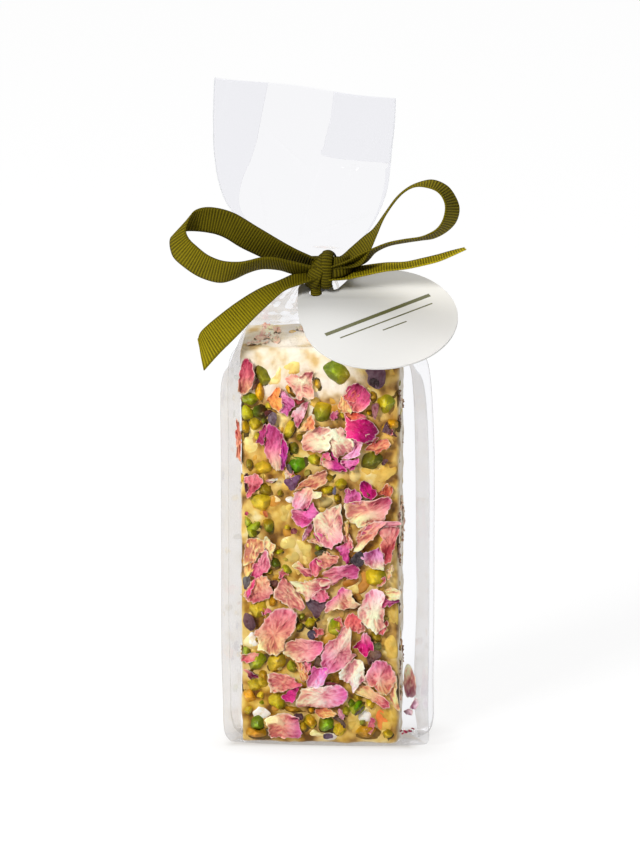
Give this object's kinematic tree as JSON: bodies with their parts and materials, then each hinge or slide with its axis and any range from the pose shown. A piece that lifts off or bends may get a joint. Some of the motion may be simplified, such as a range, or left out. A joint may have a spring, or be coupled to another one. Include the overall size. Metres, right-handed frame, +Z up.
{
  "type": "nougat slice in a tied clear bag",
  "caption": "Nougat slice with petals and pistachios, standing in a clear bag tied with a ribbon bow, with a round swing tag.",
  "frame": {"origin": "middle of the flat base that the slice and its bag stand on", "axes": "+Z up along the slice to the bag's open top, front of the slice faces -Y, +X to the right as seen from the front"},
  "size_m": [0.0921, 0.0543, 0.2077],
  "materials": {
    "nougat_in_film": "clear film over a pale nougat with pink petals and green nuts",
    "olive_ribbon": "ribbed olive grosgrain",
    "white_card": "smooth uncoated card"
  },
  "bodies": {
    "root": {"filled_bag": "nougat_in_film", "ribbon_bow": "olive_ribbon", "gift_tag": "white_card"}
  },
  "joints": []
}
